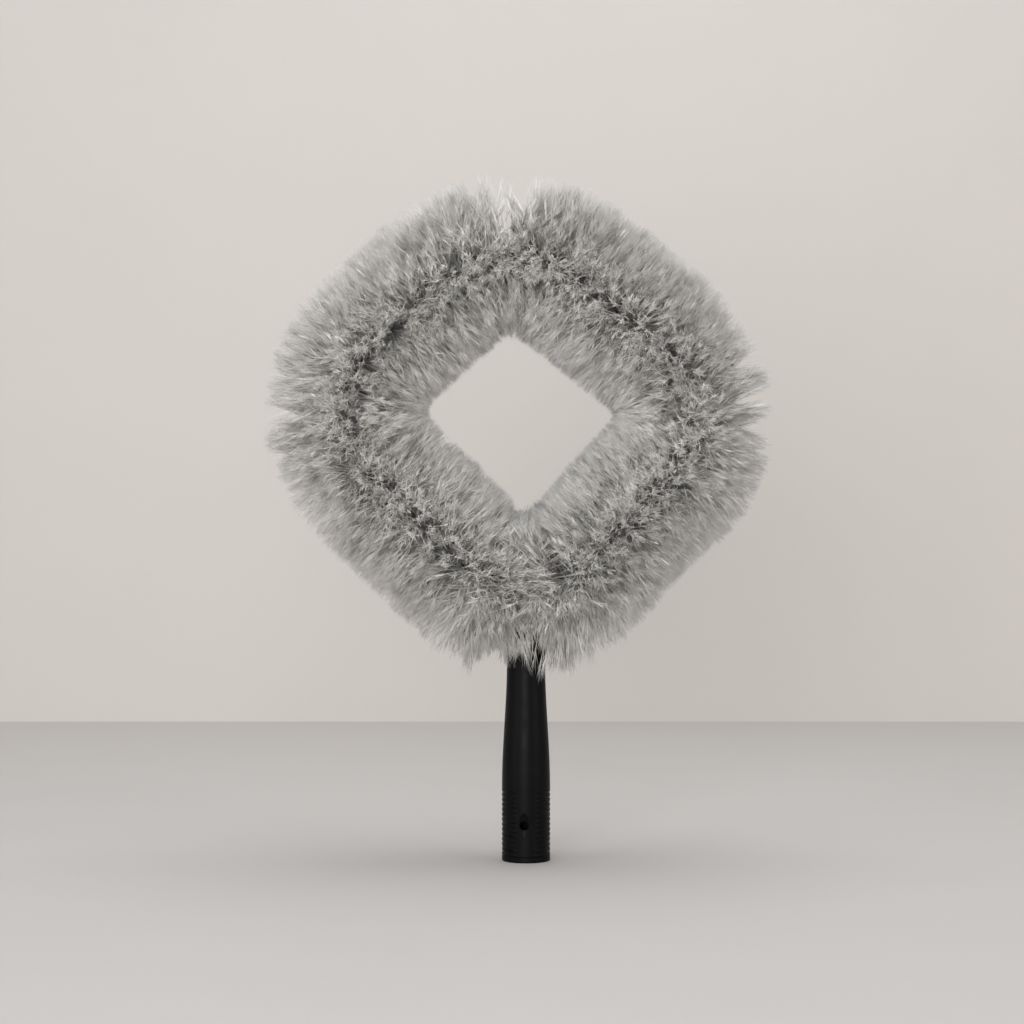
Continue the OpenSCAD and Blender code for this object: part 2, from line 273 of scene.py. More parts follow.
def grain(tree, size, detail=3.0):
    """Noise over the object's own coordinates with blotches of about this size in metres."""
    place = add(tree, "TexCoord").outputs["Object"]
    sockets = {"Vector": place, "Scale": 1 / size, "Detail": detail}
    return add(tree, "TexNoise", sockets).outputs["Fac"]


def spread(tree, factor, low, high):
    """Maps noise, which mostly lies from 0.3 to 0.7, to the range from low to high."""
    sockets = {"Value": factor, "From Min": 0.3, "From Max": 0.7, "To Min": low, "To Max": high}
    return add(tree, "MapRange", sockets).outputs["Result"]


def filament_material(name, colours, root_shade):
    """Grey polyester filament, drawn and then crimped: satin, in mixed shades, paler where it frays,
    with dust and painted shade at the root.

    The map holds a filament's shade across and runs from its root to its tip upwards.
    """
    material, tree, shader = new_material(name, IOR=1.5)
    place = add(tree, "UVMap", uv_map=MAP_NAME).outputs["UV"]
    apart = add(tree, "SeparateXYZ", {"Vector": place})
    tone, height = apart.outputs["X"], apart.outputs["Y"]
    shades = ramp(
        tree,
        tone,
        [
            (0.05, colours.filament_dark),
            (0.45, colours.filament_mid),
            (0.85, colours.filament_pale),
            (0.93, colours.filament_pale),
            # The top of the ramp is the painted glint
            (0.97, colours.filament_painted_glint),
        ],
    )
    # Painted shade, with some dust, darkens the roots, and the tips are worn pale
    root_dust_and_shade = add(tree, "MapRange", {"Value": height, "To Min": root_shade, "To Max": 1.0})
    lit = add(tree, "VectorMath", {0: shades, 3: root_dust_and_shade.outputs["Result"]}, operation="SCALE")
    tree.links.new(lit.outputs["Vector"], shader.inputs["Base Color"])
    # The crimp of the filament, about 3 mm from wave to wave
    crimps = 18
    turned = add(tree, "Math", {0: height, 1: 2 * math.pi * crimps}, operation="MULTIPLY")
    wave = add(tree, "Math", {0: turned.outputs[0]}, operation="SINE")
    bump = add(tree, "Bump", {"Height": wave.outputs[0], "Strength": 0.25, "Distance": 0.0001})
    tree.links.new(bump.outputs["Normal"], shader.inputs["Normal"])
    satin = add(tree, "MapRange", {"Value": height, "To Min": 0.38, "To Max": 0.55})
    tree.links.new(satin.outputs["Result"], shader.inputs["Roughness"])
    return material


def soft_edges(tree, value, low, high, soft):
    """A mask that is 1 where the value is from low to high, with edges this soft."""
    rise = {"Value": value, "From Min": low - soft, "From Max": low + soft}
    fall = {"Value": value, "From Min": high - soft, "From Max": high + soft}
    fall |= {"To Min": 1.0, "To Max": 0.0}
    up = add(tree, "MapRange", rise, interpolation_type="SMOOTHSTEP").outputs["Result"]
    down = add(tree, "MapRange", fall, interpolation_type="SMOOTHSTEP").outputs["Result"]
    return add(tree, "Math", {0: up, 1: down}, operation="MULTIPLY").outputs[0]


def grip_grooves(tree):
    """A wave up the grip, 1 in its grooves and -1 between them, that fades out at the front and back.

    It rounds the shoulders of the CAD's grooves, which have sharp edges, as the mould does.
    """
    lowest = 0.0062
    spacing = 0.00326
    count = 13
    plain_strip = 0.0055
    deep_side = 0.0095
    soft = 0.0003
    place = add(tree, "SeparateXYZ", {"Vector": add(tree, "TexCoord").outputs["Object"]})
    above = add(tree, "Math", {0: place.outputs["Z"], 1: lowest}, operation="SUBTRACT").outputs[0]
    turned = add(tree, "Math", {0: above, 1: 2 * math.pi / spacing}, operation="MULTIPLY").outputs[0]
    wave = add(tree, "Math", {0: turned}, operation="COSINE").outputs[0]
    side = add(tree, "Math", {0: place.outputs["X"]}, operation="ABSOLUTE").outputs[0]
    top = lowest + (count - 0.5) * spacing
    tall = soft_edges(tree, place.outputs["Z"], lowest - spacing / 2, top, soft)
    fade = {"Value": side, "From Min": plain_strip, "From Max": deep_side}
    around = add(tree, "MapRange", fade, interpolation_type="SMOOTHSTEP").outputs["Result"]
    where = add(tree, "Math", {0: tall, 1: around}, operation="MULTIPLY").outputs[0]
    return add(tree, "Math", {0: wave, 1: where}, operation="MULTIPLY").outputs[0]


def uneven_tint(tree, factor, rgb, low, high):
    """A colour that noise makes darker and lighter, from low to high times its own value."""
    dark, light = (tuple(times * c for c in rgb) for times in (low, high))
    return ramp(tree, factor, [(0.3, dark), (0.7, light)])


def moulded_plastic(name, rgb, roughness, grooved=False, **constants):
    """Injection-moulded polypropylene or nylon: a satin skin with a fine spark-eroded grain."""
    material, tree, shader = new_material(name, **constants)
    tint = uneven_tint(tree, grain(tree, size=0.018), rgb, 0.86, 1.14)
    tree.links.new(tint, shader.inputs["Base Color"])
    rough = spread(tree, grain(tree, size=0.006), roughness, roughness + 0.1)
    tree.links.new(rough, shader.inputs["Roughness"])
    # The real grain is about 0.05 mm, too fine to show, so it is drawn at 0.5 mm
    skin = grain(tree, size=0.0005, detail=2.0)
    bump = add(tree, "Bump", {"Height": skin, "Strength": 0.12, "Distance": 0.0001})
    if grooved:
        ribs = {"Height": grip_grooves(tree), "Distance": 0.0003, "Normal": bump.outputs["Normal"]}
        bump = add(tree, "Bump", ribs, invert=True)
    tree.links.new(bump.outputs["Normal"], shader.inputs["Normal"])
    return material


def coated_steel(name, rgb, size, rough_low, rough_high):
    """Steel under zinc or black oxide: a dull sheen with the faint spangle of its coat."""
    material, tree, shader = new_material(name, Metallic=1.0)
    spangle = grain(tree, size, detail=2.0)
    dark = tuple(0.72 * c for c in rgb)
    tree.links.new(ramp(tree, spangle, [(0.35, dark), (0.6, rgb)]), shader.inputs["Base Color"])
    rough = spread(tree, grain(tree, size / 3), rough_low, rough_high)
    tree.links.new(rough, shader.inputs["Roughness"])
    # The marks of drawing or rolling are too fine to show, so they are drawn at 0.4 mm
    drawn = grain(tree, size=0.0004, detail=2.0)
    bump = add(tree, "Bump", {"Height": drawn, "Strength": 0.15, "Distance": 0.00005})
    tree.links.new(bump.outputs["Normal"], shader.inputs["Normal"])
    return material


def finish_nodes(material, *nodes):
    """Gives CAD nodes their material."""
    for node in nodes:
        mesh = frame["nodes"][node].data
        mesh.materials.clear()
        mesh.materials.append(material)


class Route:
    """The wires' common line, sampled finely enough to read any place along it."""

    step = 0.0002

    def __init__(self, stops):
        neck_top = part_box("handle_socket")[1].z
        places = np.array([(x, neck_top + above) for x, above, _ in stops])
        legs = np.diff(places, axis=0)
        reaches = np.hypot(*legs.T)
        headings = np.unwrap(np.arctan2(legs[:, 1], legs[:, 0]))
        lengths, turns = [], []
        cut = 0.0
        for i, reach in enumerate(reaches):
            last = i + 1 == len(reaches)
            turn = 0.0 if last else headings[i + 1] - headings[i]
            radius = stops[i + 1][2]
            next_cut = radius * math.tan(abs(turn) / 2)
            lengths.append(reach - cut - next_cut)
            turns.append(0.0)
            if not last:
                lengths.append(radius * abs(turn))
                turns.append(turn / lengths[-1])
            cut = next_cut
        self.starts = np.concatenate([[0.0], np.cumsum(lengths)])
        self.s = np.linspace(0, self.starts[-1], round(self.starts[-1] / self.step) + 1)
        middle = (self.s[1:] + self.s[:-1]) / 2
        found = np.searchsorted(self.starts, middle, side="right") - 1
        self.bend = np.array(turns)[found.clip(0, len(turns) - 1)]
        ds = np.diff(self.s)
        self.heading = headings[0] + np.concatenate([[0.0], np.cumsum(self.bend * ds)])
        half = (self.heading[1:] + self.heading[:-1]) / 2
        moves = np.stack([np.cos(half) * ds, np.sin(half) * ds], 1)
        self.places = places[0] + np.concatenate([[(0.0, 0.0)], np.cumsum(moves, axis=0)])

    def centre(self, s):
        """The points at these lengths along the line."""
        x, z = (np.interp(s, self.s, self.places[:, k]) for k in (0, 1))
        return np.stack([x, np.zeros_like(x), z], 1)

    def sideways(self, s):
        """The unit vectors along the line and out of the loop."""
        h = np.interp(s, self.s, self.heading)
        flat = np.zeros_like(h)
        along = np.stack([np.cos(h), flat, np.sin(h)], 1)
        out = np.stack([-np.sin(h), flat, np.cos(h)], 1)
        return along, out

    def spoke(self, s, angle):
        """Unit vectors square to the line: angle 0 is out of the loop, a quarter turn is the front."""
        out = self.sideways(s)[1]
        return np.cos(angle)[:, None] * out + np.sin(angle)[:, None] * FRONT

    def nearest(self, x, z):
        """The length along the line at which it comes nearest to this point."""
        return self.s[np.argmin(np.hypot(self.places[:, 0] - x, self.places[:, 1] - z))]

    def turn(self, s):
        """The bend at these lengths, in radians per metre, below 0 where the loop closes."""
        middle = (self.s[1:] + self.s[:-1]) / 2
        return np.interp(s, middle, self.bend)


route = Route(list(WIRE_STOPS.values()))


def waves(points, seed, size):
    """Smooth random numbers, mostly from -1 to 1, that change over about this size in metres."""
    rng = np.random.default_rng(seed)
    total = np.zeros(len(points))
    count = 9
    deviation = 0.7
    for _ in range(count):
        direction = rng.normal(size=3)
        direction /= np.linalg.norm(direction)
        pitch = size * rng.uniform(0.7, 1.5)
        total += np.sin(points @ direction * 2 * math.pi / pitch + rng.uniform(0, 2 * math.pi))
    return total * math.sqrt(2 / count) * deviation


def parted(s, angle):
    """Slides tips along the wires, away from the partings, and tells how far they recede there."""
    # Filaments that point out of the loop part in full, and those on its faces and inside don't part
    outside = ((np.cos(angle) - 0.1) / 0.5).clip(0, 1)
    slide, recede = np.zeros_like(s), np.zeros_like(s)
    for x, z, half_gap, felt, edge in PARTINGS.values():
        off = s - route.nearest(x, z)
        slide += half_gap * np.where(off > 0, 1, -1) * np.exp(-np.abs(off) / felt)
        recede += edge * np.exp(-((off / felt) ** 2))
    return s + slide * outside, recede * outside


def near(points, x, z, felt):
    """How near points are to a place in the loop's plane, from 0 to 1."""
    return np.exp(-((points[:, 0] - x) ** 2 + (points[:, 2] - z) ** 2) / felt**2)


def socket_outline():
    """The heights and radii of the socket's outside, read from its CAD node."""
    mesh = frame["nodes"]["handle_socket"].data
    corners = np.empty(3 * len(mesh.vertices))
    mesh.vertices.foreach_get("co", corners)
    corners = corners.reshape(-1, 3)
    radii = np.hypot(corners[:, 0], corners[:, 1])
    bore = frame["record"]["mounts"][0]["dims"]["r_mm"] / 1000
    # Corners on the bore are nearer the axis, and so is the neck's top edge, which stays out of this
    outside = radii > 1.02 * bore
    level = corners[:, 2].round(3)
    heights = np.unique(level[outside])
    return heights, np.array([radii[outside & (level == h)].max() for h in heights])


OUTLINE_HEIGHTS, OUTLINE_RADII = socket_outline()


def clear_of_neck(points, gap):
    """Moves points that lie in the socket out to its surface, so that filaments hang round it."""
    radius = np.interp(points[:, 2], OUTLINE_HEIGHTS, OUTLINE_RADII) + gap
    inside = np.hypot(points[:, 0], points[:, 1]) < radius
    inside &= points[:, 2] < OUTLINE_HEIGHTS[-1] + gap
    depth = np.sqrt(np.maximum(radius**2 - points[:, 0] ** 2, 0.0))
    # Filaments up to this far behind the wires are still brushed round to the front
    brushed_forward = 0.004
    side = np.where(points[:, 1] > brushed_forward, 1.0, -1.0)
    moved = points.copy()
    moved[:, 1] = np.where(inside, side * depth, points[:, 1])
    return moved


class Tufts:
    """The tufts of one run of the line: each has its root's place, its tip's place and its shade."""

    def __init__(self, run, sizes, rng):
        start, end = (route.starts[i] for i in BRISTLE_RUNS[run])
        s, angle = self.rows(start, end, sizes, rng)
        # Above 1 on the outside of a bend, where tufts spread, and below 1 on its inside
        room = 1 - route.turn(s) * sizes.trim_radius * np.cos(angle)
        tip_s, tip_angle = self.swayed(s, angle, room, sizes, rng)
        tips = route.centre(tip_s) + sizes.trim_radius * route.spoke(tip_s, tip_angle)
        missing, bright = self.thinned(tips)
        fewest = 0.35
        most_missing = 0.93
        kept = rng.random(len(s)) < room.clip(fewest, 1.0) * (1 - missing.clip(0, most_missing))
        self.s = s[kept]
        self.angle = angle[kept]
        self.bright = bright[kept]
        self.tip_s = tip_s[kept]
        self.tip_angle = tip_angle[kept]
        self.inwards = self.towards_neck(run, start, end)
        self.trim_and_shade(tips[kept], sizes, rng)

    def rows(self, start, end, sizes, rng):
        """Places tufts in staggered rows round the line, each a little off its place."""
        rows = max(1, round((end - start) / sizes.tuft_pitch))
        columns = round(2 * math.pi * sizes.trim_radius / sizes.tuft_pitch)
        row, column = (a.ravel() for a in np.meshgrid(range(rows), range(columns), indexing="ij"))
        most_jog = 0.42
        jog = rng.uniform(-most_jog, most_jog, (2, len(row)))
        s = start + (row + 0.5 + jog[0]) / rows * (end - start)
        angle = 2 * math.pi * (column + 0.5 * (row % 2) + jog[1]) / columns
        return s, angle

    def swayed(self, s, angle, room, sizes, rng):
        """Leans tips along the line and round it, together with their neighbours."""
        tips = route.centre(s) + sizes.trim_radius * route.spoke(s, angle)
        small_waves = 0.9
        # Tufts lean further where a bend gives them room
        loose = room.clip(1.0, 2.0) ** 1.6
        along = waves(tips, seed=11, size=0.026) + small_waves * waves(tips, seed=12, size=0.011)
        slide = sizes.sway * loose * along
        around = waves(tips, seed=13, size=0.028) + small_waves * waves(tips, seed=14, size=0.012)
        roll = sizes.sway * around
        # On the faces, where nothing trims them level, whole patches of tufts lie over
        lying_over = 1.5 * sizes.sway * np.abs(np.sin(angle))
        roll += lying_over * waves(tips, seed=17, size=0.045)
        own = sizes.lean * rng.normal(size=(2, len(s)))
        return s + slide + own[0], angle + (roll + own[1]) / sizes.trim_radius

    def thinned(self, tips):
        """The shares of tufts that are missing and of filaments with a painted glint at these tips."""
        missing = np.zeros(len(tips))
        # Everywhere a few filaments are painted near white as glints
        bright = np.full(len(tips), 0.015)
        for x, z, felt, missing_share, bright_share in THIN_PLACES.values():
            nearby = near(tips, x, z, felt)
            missing += missing_share * nearby
            bright += bright_share * nearby
        return missing, bright

    def towards_neck(self, run, start, end):
        """How far tips move sideways to hang in front of the neck, where the two roots leave a gap."""
        if not run.startswith("root"):
            return np.zeros(len(self.s))
        most = 0.019
        felt = 0.021
        if run == "root_left":
            return most * np.exp((start - self.s) / felt)
        return -most * np.exp((self.s - end) / felt)

    def trim_and_shade(self, tips, sizes, rng):
        """Sets how far the tufts reach, their tones with painted light and shade, and how mixed the
        tones of their filaments are.
        """
        count = len(tips)
        uneven = 0.012 * waves(tips, seed=15, size=0.03) + 0.011 * rng.normal(size=count)
        self.reach = sizes.trim_radius * (1 + uneven)
        # Painted light lifts the middle of each face and the outer and inner edges, not the shoulders
        # between
        edge = np.abs(np.cos(self.angle))
        base_tone = 0.38
        painted_face_light = 0.13 * np.exp(-((edge / 0.19) ** 2))
        painted_edge_light = 0.06 * edge + 0.4 * edge**8
        # Painted shade makes the outside of the loop a little darker, and its filaments are more alike
        outside = (2 * np.cos(self.angle)).clip(0, 1)
        self.mixed = 1 - 0.6 * outside
        patches = 0.15 * rng.normal(size=count) + 0.105 * waves(tips, seed=16, size=0.012)
        patchy = (1 + self.mixed) / 2
        self.tone = base_tone + painted_face_light + painted_edge_light - 0.05 * outside + patchy * patches


class Stems:
    """The stems of some tufts, each a slightly bowed line from its root to its tip."""

    def __init__(self, tufts, sizes, rng):
        n = len(tufts.s) * sizes.stems
        tuft = np.repeat(np.arange(len(tufts.s)), sizes.stems)
        self.place(tufts, tuft, sizes, rng, n)
        self.bright = rng.random(n) < tufts.bright[tuft]
        self.middle = (self.root + self.tip) / 2 + self.bow(tuft, len(tufts.s), sizes, rng, n)
        self.mixed = tufts.mixed[tuft]
        tone = tufts.tone[tuft] + 0.16 * self.mixed * rng.normal(size=n)
        # Painted glint: these stems take the near-white top of the ramp
        painted_glint_tone = 0.975
        self.tone = np.where(self.bright, painted_glint_tone, tone.clip(0.02, 0.92))

    def place(self, tufts, tuft, sizes, rng, n):
        """Sets the stems' roots and tips, spread round the middle of their tuft."""
        around = rng.uniform(0, 2 * math.pi, n)
        tuft_radius = 0.62 * sizes.tuft_pitch
        away = tuft_radius * np.sqrt(rng.random(n))
        under = rng.random(n) < sizes.under
        under_spread = 1.5
        away = np.where(under, under_spread, 1.0) * away
        du, dv = away * np.cos(around), away * np.sin(around)
        drawn = 1 - np.where(under, 0.0, sizes.gather) * rng.uniform(0.7, 1.3, n)
        stray = rng.random(n) < sizes.stray
        stray_lean = 0.008
        plain_lean = 0.0004
        cross = rng.normal(size=(2, n)) * np.where(stray, stray_lean, plain_lean)
        root_s = tufts.s[tuft] + du
        root_angle = tufts.angle[tuft] + dv / sizes.trim_radius
        # Filaments leave the wires where the gap between them faces their way, twice in each turn
        twist_pitch = 0.020
        pull = 0.7
        turned = root_angle / math.pi - 2 * root_s / twist_pitch
        root_s = root_s + pull * (turned - np.round(turned)) * twist_pitch / 2
        tip_angle = tufts.tip_angle[tuft] + (dv * drawn + cross[1]) / sizes.trim_radius
        tip_s, recede = parted(tufts.tip_s[tuft] + du * drawn + cross[0], tip_angle)
        self.reach = tufts.reach[tuft] + 0.0006 * rng.normal(size=n)
        self.reach *= np.where(under, rng.uniform(0.68, 0.93, n), 1.0)
        self.reach -= recede * rng.uniform(0.0, 1.6, n)
        pinched = 0.0012
        self.root = route.centre(root_s) + pinched * route.spoke(root_s, root_angle)
        self.centre = route.centre(tip_s)
        self.centre[:, 0] += tufts.inwards[tuft] * rng.uniform(0.1, 1.7, n)
        self.out = route.spoke(tip_s, tip_angle)
        tips = self.centre + self.reach[:, None] * self.out
        for x, z, extra, felt in UNEVEN_TIPS.values():
            self.reach += extra * near(tips, x, z, felt)
        self.along = route.sideways(tip_s)[0]
        self.around = np.cross(self.out, self.along)
        # The split ends reach past the stem, which ends at this share of the way
        stem_share = 0.93
        self.tip = self.centre + stem_share * self.reach[:, None] * self.out

    def bow(self, tuft, tuft_count, sizes, rng, n):
        """How far the middles of the stems bow sideways, partly with their whole tuft."""
        # Filaments painted near white as glints are drawn straighter, with this share of the curl
        bright_share = 0.25
        curl = sizes.curl * np.where(self.bright, bright_share, 1.0)
        shared = 0.5 * rng.normal(size=(2, tuft_count))[:, tuft]
        bow = curl * (shared + 0.35 * rng.normal(size=(2, n)))
        return bow[0][:, None] * self.along + bow[1][:, None] * self.around

    def spine(self, t):
        """The points at this share of each stem's length."""
        t = np.broadcast_to(t, len(self.tone))[:, None]
        points = (1 - t) ** 2 * self.root + 2 * t * (1 - t) * self.middle + t**2 * self.tip
        return clear_of_neck(points, gap=0.0006)


def spike_template(cuts):
    """A three-sided spike one unit high, with rings of corners at these heights below its tip."""
    bm = bmesh.new()
    bmesh.ops.create_cone(
        bm,
        cap_ends=True,
        segments=3,
        radius1=1.0,
        radius2=0.0,
        depth=1.0,
        matrix=Matrix.Translation((0, 0, 0.5)),
    )
    for cut in cuts:
        bmesh.ops.bisect_plane(
            bm,
            geom=bm.verts[:] + bm.edges[:] + bm.faces[:],
            plane_co=(0, 0, cut),
            plane_no=(0, 0, 1),
        )
    bmesh.ops.remove_doubles(bm, verts=bm.verts[:], dist=1e-6)
    bmesh.ops.recalc_face_normals(bm, faces=bm.faces[:])
    bm.verts.ensure_lookup_table()
    corners = np.array([v.co for v in bm.verts])
    faces = [[v.index for v in f.verts] for f in bm.faces]
    bm.free()
    return corners, faces


def stamp(name, template, spines, widths, tones, softness, material):
    """Makes one mesh of a template spike bent along each of many spines.

    spines has one row of points for each height of the template's corners, from low to high. The
    shading turns towards the tip by softness, as light spreads among frayed and crimped filaments.
    """
    corners, faces = template
    heights = np.unique(corners[:, 2].round(6))
    level = np.searchsorted(heights, corners[:, 2].round(6))
    count = len(tones)
    ahead = spines[-1] - spines[0]
    ahead /= np.linalg.norm(ahead, axis=1)[:, None]
    # A little off the front, because a filament that points exactly this way would have no side
    off_front = FRONT + (0.1, 0.0, 0.07)
    side = np.cross(ahead, off_front)
    side /= np.linalg.norm(side, axis=1)[:, None]
    other = np.cross(ahead, side)
    turn = np.arctan2(corners[:, 1], corners[:, 0])
    tapers = np.where(level == len(heights) - 1, 0.0, 1.0)
    # From the middle of a three-sided spike to its corner, as a share of its width
    corner_share = 0.58
    points = np.empty((count, len(corners), 3))
    normals = np.empty_like(points)
    for i, (angle, taper) in enumerate(zip(turn, tapers)):
        arm = math.cos(angle) * side + math.sin(angle) * other
        points[:, i] = spines[level[i]] + taper * corner_share * widths[:, None] * arm
        normals[:, i] = taper * (1 - softness) * arm + softness * ahead
    normals /= np.linalg.norm(normals, axis=2)[:, :, None]
    across = np.where(tapers > 0, (turn / (2 * math.pi)) % 1.0, 0.5)
    # On the map a filament is this wide, and stays this far off the upper and lower edges
    map_width = 0.006
    map_margin = 0.002
    uv = np.empty((count, len(corners), 2))
    uv[:, :, 0] = tones[:, None] + map_width * (across[None] - 0.5)
    uv[:, :, 1] = map_margin + (1 - 2 * map_margin) * heights[level][None]
    face_sizes = np.array([len(f) for f in faces])
    loops = (np.arange(count)[:, None] * len(corners) + np.concatenate(faces)[None]).ravel()
    starts = np.concatenate([[0], np.cumsum(np.tile(face_sizes, count))[:-1]])
    mesh = bpy.data.meshes.new(name)
    mesh.vertices.add(count * len(corners))
    mesh.vertices.foreach_set("co", points.astype(np.float32).ravel())
    mesh.loops.add(len(loops))
    mesh.loops.foreach_set("vertex_index", loops.astype(np.int32))
    mesh.polygons.add(len(starts))
    mesh.polygons.foreach_set("loop_start", starts.astype(np.int32))
    mesh.polygons.foreach_set("use_smooth", np.ones(len(starts), bool))
    mesh.update(calc_edges=True)
    layer = mesh.uv_layers.new(name=MAP_NAME)
    layer.uv.foreach_set("vector", uv.reshape(-1, 2)[loops].astype(np.float32).ravel())
    mesh.normals_split_custom_set_from_vertices(normals.reshape(-1, 3).astype(np.float32))
    mesh.materials.append(material)
    piece = bpy.data.objects.new(name, mesh)
    bpy.context.scene.collection.objects.link(piece)
    return piece


def stand_for_run(piece, run):
    """Fixes a piece to the brush's one body, in the place of a run's CAD node."""
    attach(piece, "root")
    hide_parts(f"bristles_{run}")


class COBWEB_OT_bristles(bpy.types.Operator):
    """Grow the filaments of all runs, with their split ends."""

    bl_idname = "cobweb.bristles"
    bl_label = "Grow bristles"

    # Where along a stem its mesh has corners: those of the roots bend round the neck
    plain_levels = (0.0, 0.6, 1.0)
    root_levels = (0.0, 0.3, 0.5, 0.65, 0.8, 1.0)

    def execute(self, context):
        sizes = context.scene.bristle_sizes
        colours = context.scene.brush_colours
        shafts = filament_material("crimped_polyester_filament", colours, root_shade=0.85)
        frayed = filament_material("frayed_polyester_tips", colours, root_shade=0.9)
        split_shape = spike_template([])
        for seed, run in enumerate(BRISTLE_RUNS):
            rng = np.random.default_rng(seed)
            tufts = Tufts(run, sizes, rng)
            stems = Stems(tufts, sizes, rng)
            widths = sizes.stem_width * rng.uniform(0.75, 1.25, len(stems.tone))
            levels = self.root_levels if run.startswith("root") else self.plain_levels
            piece = stamp(
                f"filaments_{run}",
                spike_template(levels[1:-1]),
                [stems.spine(t) for t in levels],
                widths,
                stems.tone,
                sizes.softness,
                shafts,
            )
            stand_for_run(piece, run)
            self.split(run, stems, sizes, rng, split_shape, frayed)
        return {"FINISHED"}

    def split(self, run, stems, sizes, rng, shape, material):
        """Ends each stem in a small broom of split ends."""
        n = len(stems.tone)
        frizzed = 3.0
        # The split ends of stems with a painted glint fan out to this share of the others' spread
        painted_glint_spread = 0.25
        bases, tips, tones = [], [], []
        for k in range(sizes.splits):
            angle = 2 * math.pi * (k / sizes.splits + rng.uniform(-0.12, 0.12, n))
            wide = np.where(rng.random(n) < sizes.frizz, frizzed, 1.0)
            off = sizes.split_spread * wide * rng.uniform(0.4, 1.2, n)
            off = np.where(stems.bright, painted_glint_spread, 1.0) * off
            short = (rng.random(n) < sizes.short) & ~stems.bright
            reach = stems.reach * np.where(short, rng.uniform(0.84, 0.97, n), 1.0)
            reach += 0.0004 * rng.normal(size=n)
            tip = (
                stems.centre
                + reach[:, None] * stems.out
                + (off * np.cos(angle))[:, None] * stems.along
                + (off * np.sin(angle))[:, None] * stems.around
            )
            bases.append(stems.spine(rng.uniform(0.60, 0.92, n)))
            tips.append(clear_of_neck(tip, gap=0.0005))
            drift = np.where(stems.bright, 0.0, 0.16 * stems.mixed * rng.normal(size=n))
            tones.append((stems.tone + drift).clip(0.02, 0.98))
        piece = stamp(
            f"split_ends_{run}",
            shape,
            [np.concatenate(bases), np.concatenate(tips)],
            sizes.split_width * rng.uniform(0.7, 1.3, n * sizes.splits),
            np.concatenate(tones),
            sizes.softness,
            material,
        )
        stand_for_run(piece, run)


class COBWEB_OT_socket(bpy.types.Operator):
    """Finish the pole socket as black moulded plastic."""

    bl_idname = "cobweb.socket"
    bl_label = "Finish socket"

    def execute(self, context):
        rgb = context.scene.brush_colours.socket
        # The socket shines less than smooth polypropylene does
        shine = {"IOR": 1.49, "Specular IOR Level": 0.07}
        name = "black_moulded_polypropylene"
        material = moulded_plastic(name, rgb, roughness=0.36, grooved=True, **shine)
        finish_nodes(material, "handle_socket")
        return {"FINISHED"}


class COBWEB_OT_plug(bpy.types.Operator):
    """Finish the two halves of the plug as moulded nylon."""

    bl_idname = "cobweb.plug"
    bl_label = "Finish plug"

    def execute(self, context):
        rgb = context.scene.brush_colours.plug
        material = moulded_plastic("moulded_nylon", rgb, roughness=0.5, IOR=1.53)
        finish_nodes(material, "wire_plug_front", "wire_plug_rear")
        return {"FINISHED"}


class COBWEB_OT_steel(bpy.types.Operator):
    """Finish the wires and the ferrule as zinc-coated steel, and the cross pin as blackened steel."""

    bl_idname = "cobweb.steel"
    bl_label = "Finish steel"

    def execute(self, context):
        colours = context.scene.brush_colours
        wire = coated_steel("galvanised_steel_wire", colours.zinc, 0.003, 0.34, 0.5)
        finish_nodes(wire, "core_wire_a", "core_wire_b")
        sheet = coated_steel("zinc_plated_sheet", colours.zinc, 0.005, 0.28, 0.42)
        finish_nodes(sheet, "tail_ferrule")
        black = coated_steel("black_oxide_steel", colours.pin, 0.002, 0.45, 0.6)
        finish_nodes(black, "plug_cross_pin")
        return {"FINISHED"}


def softbox(name, place, target, size, power):
    """Adds a square soft light that faces a point."""
    lamp = bpy.data.lights.new(name, "AREA")
    lamp.shape = "SQUARE"
    lamp.size = size
    lamp.energy = power
    light = bpy.data.objects.new(name, lamp)
    light.location = place
    light.rotation_euler = (Vector(target) - Vector(place)).to_track_quat("-Z", "Y").to_euler()
    bpy.context.scene.collection.objects.link(light)


def painted_board(name, rgb):
    """Matt painted board: even, with a faint mottle that no light picks out."""
    material, tree, shader = new_material(name, Roughness=0.9)
    tint = uneven_tint(tree, grain(tree, size=0.15), rgb, 0.985, 1.0)
    tree.links.new(tint, shader.inputs["Base Color"])
    return material


def board(name, corner_a, corner_b, material):
    """Adds a flat board of the stage, level or facing the front, from one corner to the other."""
    low, high = Vector(corner_a), Vector(corner_b)
    size = high - low
    if size.z == 0:
        grid = Matrix.Diagonal((size.x, size.y, 1, 1))
    else:
        grid = Matrix.Rotation(math.pi / 2, 4, "X") @ Matrix.Diagonal((size.x, size.z, 1, 1))
    bm = bmesh.new()
    bmesh.ops.create_grid(bm, x_segments=1, y_segments=1, size=0.5)
    bmesh.ops.transform(bm, matrix=Matrix.Translation((low + high) / 2) @ grid, verts=bm.verts[:])
    mesh = bpy.data.meshes.new(name)
    bm.to_mesh(mesh)
    bm.free()
    mesh.materials.append(material)
    piece = bpy.data.objects.new(name, mesh)
    bpy.context.scene.collection.objects.link(piece)


